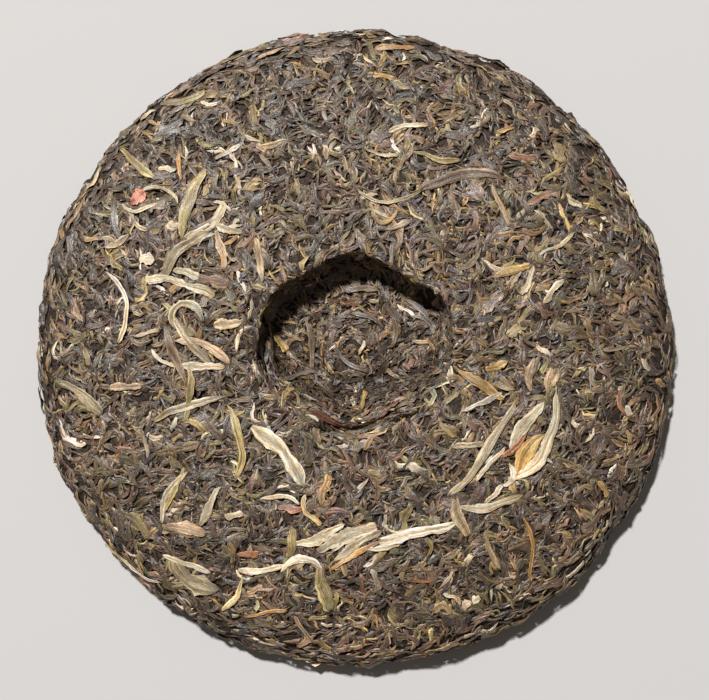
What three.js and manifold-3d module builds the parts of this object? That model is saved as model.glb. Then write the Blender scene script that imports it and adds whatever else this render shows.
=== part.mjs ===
// A raw pu erh tea cake: whole tea leaves steamed and pressed into a thick disc.
// It lies on its domed front with the dimpled back up. Millimetres, +Z up, the
// origin on the resting plane under the middle of the disc.
import * as THREE from "three";
import { mergeVertices } from "three/addons/utils/BufferGeometryUtils.js";
import Module from "manifold-3d";

// Driving sizes of the disc
const CAKE_RADIUS = 100;
const RIM_HEIGHT = 6.5;
const BACK_HEIGHT = 24.5;
const FLAT_SPOT_RADIUS = 42;
const DIMPLE_RADIUS = 27.3;
const DIMPLE_FLOOR_HEIGHT = 10;
const BACK_ROUNDING = { across: 4, up: 1.7 };
const FRONT_ROUNDING = { across: 2.2, up: 1.8 };

// The knot of the pressing cloth leaves a knob, a ring fold and a lip inside the dimple
const KNOB = { height: 2.6, radius: 8 };
const RING_FOLD = { depth: 1.6, radius: 12.5, width: 2.4 };
const SOUTH_RAMP = { rise: 4, from: 4, to: 24 };
const LIP_CREVICE = { depth: 4, at: 0.97, width: 0.05, middle: -1.55, spread: 0.62 };
const WALL = { steepStart: 0.88, rampStart: 0.52, end: 1.045 };
// The ramp takes over from the steep wall beyond these turns from due east and due west, in radians
const RAMP_SIDE = { eastTurn: 0.35, westTurn: 0.25, from: -0.1, to: 0.9 };

// How closely the surface is sampled, and how rough pressed leaf makes it
const BACK_STEP = 5;
const FRONT_STEP = 6.8;
const DIMPLE_STEP = 3;
const DIMPLE_SPACING = 0.8;
const DIMPLE_RINGS = [0.13, 0.26, 0.39, 0.52, 0.64, 0.75, 0.84, 0.9, 0.94, 0.975, 1.01, 1.06, 1.15];
const LEAST_SECTORS = 6;
const PROFILE_SAMPLES = 400;
const GRAIN_HEIGHT = 0.36;
const GRAIN_SHARE = { dimple: 0.7, back: 1, front: 0.6 };
const TABLE_GAP = 0.05;

// Beyond this share of the radius the edge turns over, falling back by these shares to its two faces
const EDGE = { from: 0.9, fallBack: 0.22, fallFront: 0.16, reach: 0.75 };

const SEED = 357;

// Slow waves of the pressed surface: wave vector in 1/mm, phase, height in mm
const WAVES = [
  { along: [0.16, 0.05, 0.1], phase: 1.3, height: 0.22 },
  { along: [-0.07, 0.19, 0.12], phase: 0.4, height: 0.24 },
  { along: [0.31, -0.22, 0.2], phase: 2.1, height: 0.16 },
  { along: [0.24, 0.38, -0.3], phase: 4.0, height: 0.14 },
];
const OUTLINE_WAVES = [
  { count: 2, phase: 0.9, share: 0.0025 },
  { count: 3, phase: 2.2, share: 0.003 },
  { count: 7, phase: 0.3, share: 0.0025 },
  { count: 17, phase: 1.1, share: 0.0022 },
];
const DIMPLE_FADE = { from: 1.06, to: 1.4 };
const DIMPLE_WAVES = [
  { count: 2, phase: 0.06, share: 0.068 },
  { count: 3, phase: 0.5, share: 0.015 },
  { count: 4, phase: -0.05, share: 0.023 },
  { count: 6, phase: -2.85, share: 0.037 },
];

// A leaf is laid by the middle of its length, its heading, length, width and bend, in mm and degrees
const PALE = [
  { at: [58, -19], heading: 46, length: 18, width: 3.4, bend: 0 },
  { at: [60, -25], heading: 74, length: 34, width: 4.4, bend: -50 },
  { at: [53, -31], heading: 60, length: 20, width: 4.8, bend: 0 },
  { at: [41, -30], heading: 64, length: 31, width: 3, bend: 14 },
  { at: [42, -46], heading: 22, length: 20, width: 2.8, bend: 40 },
  { at: [17.5, -55], heading: 17, length: 24, width: 3.4, bend: 14 },
  { at: [32.5, -51], heading: -74, length: 15, width: 3, bend: 0 },
  { at: [-6, -57], heading: 24, length: 22, width: 6.4, bend: 24 },
  { at: [-24, -64], heading: 16, length: 27, width: 2.2, bend: 12 },
  { at: [-49, -69], heading: -34, length: 21, width: 7, bend: -10 },
  { at: [-22, -31], heading: -47, length: 24, width: 3.4, bend: 10 },
  { at: [-36, -29], heading: -72, length: 22, width: 2.8, bend: -18 },
  { at: [-50, -56], heading: -4, length: 12, width: 3, bend: 0 },
  { at: [-50, -19], heading: 15, length: 24, width: 2.2, bend: 0 },
  { at: [-50, -12], heading: 80, length: 18, width: 2.2, bend: 0 },
  { at: [-50, 46], heading: 70, length: 21, width: 3.6, bend: 0 },
  { at: [-54, 30], heading: 38, length: 22, width: 3.8, bend: -20 },
  { at: [-46, 39], heading: 28, length: 15, width: 2.6, bend: 34 },
  { at: [-54, 19.5], heading: -12, length: 21, width: 2.4, bend: 10 },
  { at: [-70, 15], heading: -60, length: 24, width: 2, bend: -60 },
  { at: [-84, -13], heading: -28, length: 17, width: 3.8, bend: 12 },
  { at: [31, 50], heading: 20, length: 28, width: 3.2, bend: -44 },
  { at: [62, 31], heading: 28, length: 13, width: 2, bend: 0 },
  { at: [60, 17], heading: 48, length: 10, width: 2.4, bend: 0 },
];

// The other leaves that stand proud: how many on each face, and their range of sizes
const LOOSE = { back: 24, rim: 16, front: 12, length: [11, 22], width: [1.8, 3], bend: 70 };
const LOOSE_BETWEEN = { back: [36, 88], front: [68, 88] };
const LOOSE_TURN = 150;
const LEAF_SIDES = 5;
const LEAF_LENGTHWISE = 5;
const LEAF_THICKNESS = { least: 0.42, ofWidth: 0.12 };
const LEAF_RISE = 0.08;
const BLUNT = 0.75;
const PROBE = 0.4;
const MERGE_DISTANCE = 0.001;

const COLOUR = 0x5b4d3e;
const ROUGHNESS = 0.72;

const smooth = (from, to, x) => THREE.MathUtils.smoothstep(x, from, to);
const bell = (x, width) => Math.exp(-((x / width) ** 2));

// A repeatable stream of numbers from 0 to 1
function stream(seed) {
  let state = seed;
  return () => {
    state = (state + 0x6d2b79f5) | 0;
    let mixed = Math.imul(state ^ (state >>> 15), 1 | state);
    mixed = (mixed + Math.imul(mixed ^ (mixed >>> 7), 61 | mixed)) ^ mixed;
    return ((mixed ^ (mixed >>> 14)) >>> 0) / 4294967296;
  };
}

const wavy = (waves, angle) =>
  waves.reduce((sum, wave) => sum + wave.share * Math.cos(wave.count * angle + wave.phase), 1);

function relief(point) {
  return WAVES.reduce((sum, wave) => {
    const turn = wave.along[0] * point.x + wave.along[1] * point.y + wave.along[2] * point.z;
    return sum + wave.height * Math.sin(turn + wave.phase);
  }, 0);
}

const backRise = (share) =>
  (1 - Math.min(1, share) ** BACK_ROUNDING.across) ** (1 / BACK_ROUNDING.up);

function frontRise(share) {
  const flat = FLAT_SPOT_RADIUS / CAKE_RADIUS;
  const out = THREE.MathUtils.clamp((share - flat) / (1 - flat), 0, 1);
  return 1 - (1 - out ** FRONT_ROUNDING.across) ** (1 / FRONT_ROUNDING.up);
}

// Height of the dimple's floor, before its wall is added
function floorHeight(x, y) {
  const out = Math.hypot(x, y);
  return (
    DIMPLE_FLOOR_HEIGHT +
    KNOB.height * bell(out, KNOB.radius) -
    RING_FOLD.depth * bell(out - RING_FOLD.radius, RING_FOLD.width) +
    SOUTH_RAMP.rise * smooth(SOUTH_RAMP.from, SOUTH_RAMP.to, -y)
  );
}

// Height of the back at a place, with the dimple: steep on its north side, a ramp to the south and west
function backHeight(x, y) {
  const angle = Math.atan2(y, x);
  const out = Math.hypot(x, y);
  const face = RIM_HEIGHT + (BACK_HEIGHT - RIM_HEIGHT) * backRise(out / edgeRadius(angle));
  const share = out / (DIMPLE_RADIUS * wavy(DIMPLE_WAVES, angle));
  if (share >= WALL.end) return face;
  const south = Math.max(-Math.sin(angle - RAMP_SIDE.eastTurn), -Math.sin(angle + RAMP_SIDE.westTurn));
  const southness = smooth(RAMP_SIDE.from, RAMP_SIDE.to, south);
  const start = THREE.MathUtils.lerp(WALL.steepStart, WALL.rampStart, southness);
  const floor = floorHeight(x, y);
  const around = bell(angle - LIP_CREVICE.middle, LIP_CREVICE.spread);
  const crevice = LIP_CREVICE.depth * around * bell(share - LIP_CREVICE.at, LIP_CREVICE.width);
  return floor + (face - floor) * smooth(start, WALL.end, share) - crevice;
}

const edgeRadius = (angle) => CAKE_RADIUS * wavy(OUTLINE_WAVES, angle);

const frontHeight = (x, y) =>
  RIM_HEIGHT * frontRise(Math.hypot(x, y) / edgeRadius(Math.atan2(y, x)));

const onBack = (x, y) => new THREE.Vector3(x, y, backHeight(x, y));
const onFront = (x, y) => new THREE.Vector3(x, y, frontHeight(x, y));

// Stations of the smooth outer profile at even steps, with one on the widest line: share of the
// edge radius, height, and side of the rim
function profileStations() {
  const dense = [];
  for (let i = 0; i <= PROFILE_SAMPLES; i++) {
    const turn = (i / PROFILE_SAMPLES) * (Math.PI / 2);
    const share = Math.sin(turn) ** (2 / BACK_ROUNDING.across);
    const height = RIM_HEIGHT + (BACK_HEIGHT - RIM_HEIGHT) * Math.cos(turn) ** (2 / BACK_ROUNDING.up);
    dense.push({ share, height, side: "back" });
  }
  const flat = FLAT_SPOT_RADIUS / CAKE_RADIUS;
  for (let i = PROFILE_SAMPLES - 1; i >= 0; i--) {
    const turn = (i / PROFILE_SAMPLES) * (Math.PI / 2);
    const share = flat + (1 - flat) * Math.sin(turn) ** (2 / FRONT_ROUNDING.across);
    dense.push({ share, height: RIM_HEIGHT * frontRise(share), side: "front" });
  }
  const kept = [];
  const innermost = (DIMPLE_RINGS.at(-1) * DIMPLE_RADIUS) / CAKE_RADIUS;
  let gone = 0;
  for (let i = 1; i < dense.length; i++) {
    const [here, before] = [dense[i], dense[i - 1]];
    if (here.side === "back" && here.share < innermost) continue;
    gone += Math.hypot((here.share - before.share) * CAKE_RADIUS, here.height - before.height);
    const step = here.side === "back" ? BACK_STEP : FRONT_STEP;
    const needed = i === PROFILE_SAMPLES || i === dense.length - 1;
    if (gone < step && !needed) continue;
    if (needed && gone < step / 2) kept.pop();
    kept.push(here);
    gone = 0;
  }
  return kept;
}

// Outward normal of a face laid out as a function of two numbers, with its upper side along turned
function normalOf(face, a, b, turned) {
  const across = face(a + PROBE, b).sub(face(a - PROBE, b));
  const along = face(a, b + PROBE).sub(face(a, b - PROBE));
  return across.cross(along).multiplyScalar(turned).normalize();
}

// One ring of points round the cake, with the grain of the pressed leaves on it
function ring(radiusAt, face, turned, spacing, random, grain) {
  const middle = radiusAt(0);
  const count = Math.max(LEAST_SECTORS, Math.round((2 * Math.PI * middle) / spacing));
  const shift = random() * 0.5;
  return Array.from({ length: count }, (_, j) => {
    const angle = ((j + shift) / count) * 2 * Math.PI;
    const [x, y] = [radiusAt(angle) * Math.cos(angle), radiusAt(angle) * Math.sin(angle)];
    const point = face(x, y);
    const bump = relief(point) + (random() - 0.5) * 2 * GRAIN_HEIGHT;
    point.addScaledVector(normalOf(face, x, y, turned), bump * grain);
    return { point: point.setZ(Math.max(point.z, TABLE_GAP)), angle };
  });
}

// All rings, from the middle of the dimple over the back, round the rim and in to the flat spot
function coreRings(random) {
  const rings = DIMPLE_RINGS.map((share) => {
    const fade = 1 - smooth(DIMPLE_FADE.from, DIMPLE_FADE.to, share);
    const radiusAt = (angle) => DIMPLE_RADIUS * share * (1 + (wavy(DIMPLE_WAVES, angle) - 1) * fade);
    const spacing = Math.max(DIMPLE_STEP, BACK_STEP * share * DIMPLE_SPACING);
    return ring(radiusAt, onBack, 1, spacing, random, GRAIN_SHARE.dimple);
  });
  for (const { share, side, height } of profileStations()) {
    if (side === "front" && height < 1e-6) continue;
    const radiusAt = (angle) => edgeRadius(angle) * share;
    const face = side === "back" ? onBack : onFront;
    const turned = side === "back" ? 1 : -1;
    const step = side === "back" ? BACK_STEP : FRONT_STEP;
    if (share > EDGE.from) rings.push(rimRing(radiusAt, height, step, random));
    else rings.push(ring(radiusAt, face, turned, step, random, GRAIN_SHARE[side]));
  }
  const flat = (angle) => FLAT_SPOT_RADIUS * (edgeRadius(angle) / CAKE_RADIUS);
  rings.push(ring(flat, () => new THREE.Vector3(), 1, FRONT_STEP, random, 0));
  rings.at(-1).forEach((spot) => {
    spot.point.set(flat(spot.angle) * Math.cos(spot.angle), flat(spot.angle) * Math.sin(spot.angle), 0);
  });
  return rings;
}

// Near the rim the face is too steep to be a height, so its bumps go straight out
function rimRing(radiusAt, height, spacing, random) {
  const count = Math.round((2 * Math.PI * CAKE_RADIUS) / spacing);
  const shift = random() * 0.5;
  return Array.from({ length: count }, (_, j) => {
    const angle = ((j + shift) / count) * 2 * Math.PI;
    const out = new THREE.Vector3(Math.cos(angle), Math.sin(angle), 0);
    const point = out.clone().multiplyScalar(radiusAt(angle)).setZ(height);
    const bump = relief(point) + (random() - 0.5) * 2 * GRAIN_HEIGHT;
    return { point: point.addScaledVector(out, bump), angle };
  });
}

// Triangles of the band between two rings of any counts, going round both by angle
function stitch(inner, outer, innerStart, outerStart, index) {
  let [i, j] = [0, 0];
  const angleOf = (spots, k) => spots[k % spots.length].angle + 2 * Math.PI * Math.floor(k / spots.length);
  while (i < inner.length || j < outer.length) {
    const a = innerStart + (i % inner.length);
    const b = outerStart + (j % outer.length);
    const goOuter = i >= inner.length || (j < outer.length && angleOf(outer, j + 1) < angleOf(inner, i + 1));
    if (goOuter) {
      index.push(a, b, outerStart + ((j + 1) % outer.length));
      j++;
    } else {
      index.push(a, b, innerStart + ((i + 1) % inner.length));
      i++;
    }
  }
}

function coreGeometry(random) {
  const rings = coreRings(random);
  const top = new THREE.Vector3(0, 0, backHeight(0, 0));
  const positions = [top.x, top.y, top.z];
  const starts = rings.map((spots) => {
    const start = positions.length / 3;
    spots.forEach(({ point }) => positions.push(point.x, point.y, point.z));
    return start;
  });
  positions.push(0, 0, 0);
  const bottom = positions.length / 3 - 1;
  const index = [];
  const first = rings[0];
  first.forEach((_, j) => index.push(0, starts[0] + j, starts[0] + ((j + 1) % first.length)));
  for (let k = 0; k + 1 < rings.length; k++) stitch(rings[k], rings[k + 1], starts[k], starts[k + 1], index);
  const last = rings.at(-1);
  const lastStart = starts.at(-1);
  last.forEach((_, j) => index.push(bottom, lastStart + ((j + 1) % last.length), lastStart + j));
  const geometry = new THREE.BufferGeometry();
  geometry.setAttribute("position", new THREE.Float32BufferAttribute(positions, 3));
  geometry.setIndex(index);
  return geometry;
}

// Places on the rim: a runs round the edge in mm, b across it from the back to the front
function onRim(a, b) {
  const angle = a / CAKE_RADIUS;
  const rise = b < 0 ? BACK_HEIGHT - RIM_HEIGHT : RIM_HEIGHT;
  const turn = b / rise;
  const fall = (turn < 0 ? EDGE.fallBack : EDGE.fallFront) * turn * turn;
  const radius = edgeRadius(angle) * (1 - fall);
  const height = RIM_HEIGHT - rise * turn * EDGE.reach;
  return new THREE.Vector3(radius * Math.cos(angle), radius * Math.sin(angle), height);
}

// A tapered leaf: a stretched ball with few sides, laid along an arc on a face
function leafGeometry({ at, heading, length, width, bend }, face, turned) {
  const blank = new THREE.SphereGeometry(1, LEAF_SIDES, LEAF_LENGTHWISE);
  blank.deleteAttribute("normal");
  blank.deleteAttribute("uv");
  const geometry = mergeVertices(blank);
  const place = geometry.getAttribute("position");
  const [course, curve] = [THREE.MathUtils.degToRad(heading), THREE.MathUtils.degToRad(bend)];
  const spine = (share) => {
    const turn = course + (curve * share) / 2;
    const chord = (share * length) / 2;
    return [at[0] + chord * Math.cos(turn), at[1] + chord * Math.sin(turn)];
  };
  for (let i = 0; i < place.count; i++) {
    const [side, share, up] = [place.getX(i), place.getY(i), place.getZ(i)];
    const [a, b] = spine(share);
    const [nextA, nextB] = spine(share + 0.02);
    const [nearA, nearB] = spine(share - 0.02);
    const normal = normalOf(face, a, b, turned);
    const along = face(nextA, nextB).sub(face(nearA, nearB)).normalize();
    const across = new THREE.Vector3().crossVectors(along, normal).normalize();
    const ringRadius = Math.hypot(side, up);
    const blunt = ringRadius > 1e-6 ? ringRadius ** (BLUNT - 1) : 0;
    const point = face(a, b);
    const thickness = LEAF_THICKNESS.least + LEAF_THICKNESS.ofWidth * width;
    const lift = relief(point) + LEAF_RISE + up * blunt * thickness;
    point.addScaledVector(across, (side * blunt * width) / 2).addScaledVector(normal, lift);
    place.setXYZ(i, point.x, point.y, Math.max(point.z, TABLE_GAP));
  }
  return geometry;
}

// Headings and sizes of one loose leaf, drawn in a fixed order
function looseLeaf(at, alongEdge, random) {
  const pick = ([least, most]) => least + (most - least) * random();
  return {
    at,
    heading: alongEdge + (random() - 0.5) * LOOSE_TURN,
    length: pick(LOOSE.length),
    width: pick(LOOSE.width),
    bend: (random() - 0.5) * 2 * LOOSE.bend,
  };
}

// Evenly spread places between two radii, by the golden angle
function spreadPlaces(count, least, most) {
  const golden = Math.PI * (3 - Math.sqrt(5));
  return Array.from({ length: count }, (_, i) => {
    const radius = Math.sqrt(least ** 2 + ((i + 0.5) / count) * (most ** 2 - least ** 2));
    return [radius * Math.cos(i * golden), radius * Math.sin(i * golden), i * golden];
  });
}

function leaves(random) {
  const made = PALE.map((leaf) => leafGeometry(leaf, onBack, 1));
  const degrees = THREE.MathUtils.radToDeg;
  for (const [x, y, angle] of spreadPlaces(LOOSE.back, ...LOOSE_BETWEEN.back))
    made.push(leafGeometry(looseLeaf([x, y], degrees(angle) + 90, random), onBack, 1));
  for (const [x, y, angle] of spreadPlaces(LOOSE.front, ...LOOSE_BETWEEN.front))
    made.push(leafGeometry(looseLeaf([x, y], degrees(angle) + 90, random), onFront, -1));
  for (let i = 0; i < LOOSE.rim; i++) {
    const at = [((i + random() * 0.5) / LOOSE.rim) * 2 * Math.PI * CAKE_RADIUS, (random() - 0.5) * 5];
    const leaf = looseLeaf(at, 0, random);
    made.push(leafGeometry({ ...leaf, heading: leaf.heading * 0.25, bend: leaf.bend * 0.3 }, onRim, -1));
  }
  return made;
}

function toSolid(wasm, geometry) {
  const { position } = geometry.attributes;
  return new wasm.Manifold(
    new wasm.Mesh({
      numProp: 3,
      vertProperties: new Float32Array(position.array),
      triVerts: new Uint32Array(geometry.index.array),
    }),
  );
}

function toGeometry(solid) {
  const mesh = solid.getMesh();
  const geometry = new THREE.BufferGeometry();
  geometry.setAttribute("position", new THREE.BufferAttribute(mesh.vertProperties, 3));
  geometry.setIndex(new THREE.BufferAttribute(mesh.triVerts, 1));
  geometry.computeVertexNormals();
  return geometry;
}

// Fusing can seal a small hollow under a leaf: the largest shell alone is the solid cake
function outerShell(wasm, solid) {
  const geometry = toGeometry(solid);
  geometry.deleteAttribute("normal");
  const shells = toSolid(wasm, mergeVertices(geometry, MERGE_DISTANCE)).decompose();
  return shells.sort((a, b) => b.volume() - a.volume())[0];
}

const wasm = await Module();
wasm.setup();
const random = stream(SEED);

const core = toSolid(wasm, coreGeometry(random));
const joined = leaves(random).reduce((whole, leaf) => whole.add(toSolid(wasm, leaf)), core);

// The origin is the middle of the whole outline, on the resting plane
const shape = toGeometry(outerShell(wasm, joined));
shape.computeBoundingBox();
const middle = shape.boundingBox.getCenter(new THREE.Vector3());
shape.translate(-middle.x, -middle.y, 0);

const cake = new THREE.Mesh(
  shape,
  new THREE.MeshStandardMaterial({ color: COLOUR, roughness: ROUGHNESS, metalness: 0 }),
);
cake.name = "tea_cake";

const group = new THREE.Group();
group.add(cake);

export default group;
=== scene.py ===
import math
import random

import bpy
import numpy as np
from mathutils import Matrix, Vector, noise
from mathutils.bvhtree import BVHTree


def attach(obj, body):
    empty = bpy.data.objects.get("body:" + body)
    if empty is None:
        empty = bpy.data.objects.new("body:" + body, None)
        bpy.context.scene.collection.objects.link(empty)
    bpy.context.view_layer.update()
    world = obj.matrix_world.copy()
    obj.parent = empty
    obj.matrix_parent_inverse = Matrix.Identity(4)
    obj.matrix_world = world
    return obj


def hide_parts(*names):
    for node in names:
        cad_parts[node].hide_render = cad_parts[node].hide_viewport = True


# A raw pu erh tea cake: a core of packed leaf under separate dry leaves, pressed flat.
# Sizes are in mm and are turned into metres where a mesh is made.
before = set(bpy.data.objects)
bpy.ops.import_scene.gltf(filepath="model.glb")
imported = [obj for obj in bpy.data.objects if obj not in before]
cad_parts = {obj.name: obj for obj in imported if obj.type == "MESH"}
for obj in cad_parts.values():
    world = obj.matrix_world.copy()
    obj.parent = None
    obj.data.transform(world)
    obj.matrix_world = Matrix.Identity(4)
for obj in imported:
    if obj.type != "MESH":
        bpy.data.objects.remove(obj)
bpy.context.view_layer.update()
scene = bpy.context.scene
MM = 0.001
SEED = 357
LUMP_SEED = SEED + 5
BLADE_SEED = SEED + 9

# Driving sizes of the disc, as in the CAD frame
CAKE_RADIUS = 100
RIM_HEIGHT = 6.5
BACK_HEIGHT = 24.5
FLAT_SPOT_RADIUS = 42
DIMPLE_RADIUS = 27.3
DIMPLE_FLOOR_HEIGHT = 10
BACK_ROUNDING = (4, 1.7)
FRONT_ROUNDING = (2.2, 1.8)
KNOB_HEIGHT, KNOB_RADIUS = 2.6, 8
RING_FOLD_DEPTH, RING_FOLD_RADIUS, RING_FOLD_WIDTH = 1.6, 12.5, 2.4
SOUTH_RISE, SOUTH_FROM, SOUTH_TO = 4, 4, 24
# The crevice under the dimple's lip: shares of the mouth's radius, and angles
CREVICE = {"depth": 4.6, "at": 0.97, "width": 0.045, "middle": -1.55, "spread": 0.62}
# Shares of the mouth's radius where the wall starts, on its steep and its ramped side, and ends
WALL_STEEP, WALL_RAMP, WALL_END = 0.9, 0.52, 1.04
WALL_UNDERCUT = 2.4
EAST_TURN, WEST_TURN = 0.35, 0.25
RAMP_FADE = (-0.1, 0.9)

# Waves as (count, phase, share) round the outline, and as (vector, phase, height) over the surface
OUTLINE_WAVES = [(2, 0.9, 0.0025), (3, 2.2, 0.003), (7, 0.3, 0.0025), (17, 1.1, 0.0022)]
DIMPLE_WAVES = [(2, 0.06, 0.068), (3, 0.5, 0.015), (4, -0.05, 0.023), (6, -2.85, 0.037)]
SLOW_WAVES = [
    ((0.16, 0.05, 0.1), 1.3, 0.22),
    ((-0.07, 0.19, 0.12), 0.4, 0.24),
    ((0.31, -0.22, 0.2), 2.1, 0.16),
    ((0.24, 0.38, -0.3), 4.0, 0.14),
]
LUMP_SIZES = (5.5, 12)
LUMP_HEIGHT = 0.26
LUMP_WAVES = 12

# Narrow creases of the back as (points, depth, half width); leaves keep clear of them
CREASES = [
    ([(-4.4, 5.7), (-1.0, 7.3), (3.1, 7.6)], 1.2, 0.7),
    ([(13.7, 0.7), (17.1, 3.2), (20.6, 5.1)], 1.3, 0.8),
    ([(13.7, -7.8), (17.1, -9.0), (20.5, -8.7)], 1.2, 0.7),
    ([(-17.3, -3.7), (-13.5, -5.6), (-11.0, -8.4)], 1.2, 0.7),
    ([(-27.6, 4.0), (-27.2, -4.5), (-25.6, -11.0)], 2.0, 0.7),
]
# The crevice behind the lip of the rim, in stretches from one angle to another, in degrees
RIM_CREVICE = {
    "stretches": [(28, 41), (44, 57), (61, 79), (83, 112), (118, 131)],
    "step": 2,
    "at": 0.978,
    "wobble": 0.004,
    "wobbles": 31,
    "depth": 1.3,
    "width": 0.55,
}
LIP_STEPS, LIP_OVERRUN, LIP_HALF_WIDTH = 25, 1.05, 1
# How near leaves may come to a crease, how far it turns them, and which of them still lie along it
CREASE_CLEARANCE = 0.45
CREASE_COVERED_SHARE = 0.5
CREASE_REACH = 3.2
CREASE_FREEDOM = 0.5
ALONG_CREASE = 0.93

# The core under the leaves
COLUMNS = 360
ROW_STEP, FINE_ROW_STEP, FINE_SHARE = 1.6, 0.75, 0.33
PROFILE_STEPS, FLAT_STEPS = 20001, 2000
SMALLEST_P, FLAT_P_STEP = 1e-9, 1e-6
FIRST_ROW, LAST_SHARE = 0.9, 0.01
CORE_INSET = 0.95
CORE_LOWEST = 0.8
CORE_GRAIN = 0.22
CORE_GRAIN_SIZES, CORE_GRAIN_WAVES = (3.2, 8), 14
# Where the relief reaches its full height, and the last p of the undercut and of the creases
RELIEF_FULL_AT = 3
UNDERCUT_LAST_P, CREASE_LAST_P = 0.9, 0.995


def leaf_kind(slot, shares, look, *shades):
    """Shares of the strands, leaves and flakes, looks for leaf_material, and colours from 0 to 255."""
    return {"slot": slot, "shares": shares, "look": look, "shades": shades}


KINDS = {
    "charcoal": leaf_kind(
        "dark_leaf", (0.31, 0.21, 0.28), (0.5, 0.44, 1.0, 0.3),
        (60, 43, 31), (76, 58, 44), (50, 36, 25), (88, 71, 57),
    ),
    "slate": leaf_kind(
        "dark_leaf", (0.15, 0.12, 0.12), (0.48, 0.42, 1.0, 0.3),
        (69, 58, 50), (83, 73, 66), (58, 48, 40),
    ),
    "umber": leaf_kind(
        "umber_leaf", (0.27, 0.26, 0.29), (0.45, 0.46, 0.95, 0.3),
        (86, 65, 46), (101, 80, 59), (73, 53, 37), (116, 96, 74),
    ),
    "olive": leaf_kind(
        "olive_leaf", (0.16, 0.22, 0.18), (0.42, 0.47, 0.9, 0.3),
        (91, 80, 46), (107, 96, 60), (79, 68, 39), (123, 111, 74),
    ),
    "gold": leaf_kind(
        "gold_leaf", (0.06, 0.11, 0.06), (0.36, 0.5, 0.7, 0.25),
        (131, 114, 73), (149, 134, 92), (116, 99, 61), (136, 115, 76),
    ),
    "straw": leaf_kind(
        "pale_leaf", (0.022, 0.038, 0.03), (0.26, 0.54, 0.5, 0.15),
        (186, 180, 158), (204, 200, 182), (165, 157, 136),
    ),
    "russet": leaf_kind(
        "russet_leaf", (0.02, 0.022, 0.026), (0.42, 0.46, 0.9, 0.25),
        (98, 68, 49), (110, 78, 58), (86, 58, 42), (118, 86, 64),
    ),
}

# Size classes: how many lie on the back, the rim and the front, how many side by side, the range of
# their sizes, how uneven they are, the points along them and round them, and the sharp ones of these
STRANDS = {
    "count": {"back": 10200, "rim": 1800, "front": 4200},
    "bundle": 3,
    "length": (3.2, 9),
    "width": (0.5, 1.25),
    "level": (-0.5, 0.1),
    "ragged": 0.1,
    "streaks": 0.05,
    "stations": 5,
    "section": [(-1.0, -0.1), (0.05, 0.5), (1.0, -0.05)],
    "sharp": (0, 1, 2),
}
LEAVES = {
    "count": {"back": 2900, "rim": 620, "front": 1000},
    "bundle": 1,
    "length": (4.5, 12.5),
    "width": (0.9, 2.4),
    "level": (-0.4, 0.2),
    "ragged": 0.16,
    "streaks": 0.1,
    "stations": 7,
    "section": [(-1.0, -0.12), (-0.42, 0.42), (0.08, 0.12), (0.52, 0.4), (1.0, -0.1)],
    "sharp": (0, 1, 3, 4),
}
BLADE_SECTION = [
    (-1.0, 0.12), (-0.62, 0.34), (-0.3, 0.3), (0.0, 0.04), (0.3, 0.3), (0.62, 0.34), (1.0, 0.12),
    (0.6, -0.02), (0.0, -0.22), (-0.6, -0.02),
]
FLAKES = {
    "count": {"back": 120, "rim": 40, "front": 60},
    "bundle": 1,
    "length": (7, 15),
    "width": (2.2, 3.9),
    "level": (-0.1, 0.22),
    "ragged": 0.18,
    "streaks": 0.2,
    "stations": 10,
    "section": BLADE_SECTION,
    "sharp": (0, 6),
}
BLADE_STATIONS, ABOVE_BACK = 18, 8
BUNDLE_STEP, BUNDLE_SLIDE, BUNDLE_TURN = 0.6, 1.6, 0.12
MIXED_SHARE = 0.5
KINK, BLADE_KINK = 0.11, 0.08

# Shades of the leaves that stand out: kind, and colour as the eye sees it
BLADE_SHADES = {
    "white": ("straw", (222, 217, 192)),
    "cream": ("straw", (203, 197, 172)),
    "pale": ("straw", (179, 172, 149)),
    "pink": ("straw", (184, 164, 140)),
    "tan": ("gold", (166, 148, 117)),
    "gold": ("gold", (160, 136, 84)),
    "honey": ("gold", (204, 182, 134)),
    "olive": ("olive", (148, 136, 88)),
    "drab": ("olive", (160, 150, 120)),
    "grey": ("slate", (172, 166, 152)),
    "ash": ("slate", (104, 98, 92)),
    "brown": ("umber", (112, 94, 72)),
    "orange": ("russet", (170, 134, 78)),
    "russet": ("russet", (148, 96, 62)),
    "rust": ("russet", (112, 70, 50)),
    "salmon": ("russet", (178, 112, 88)),
}
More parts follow.
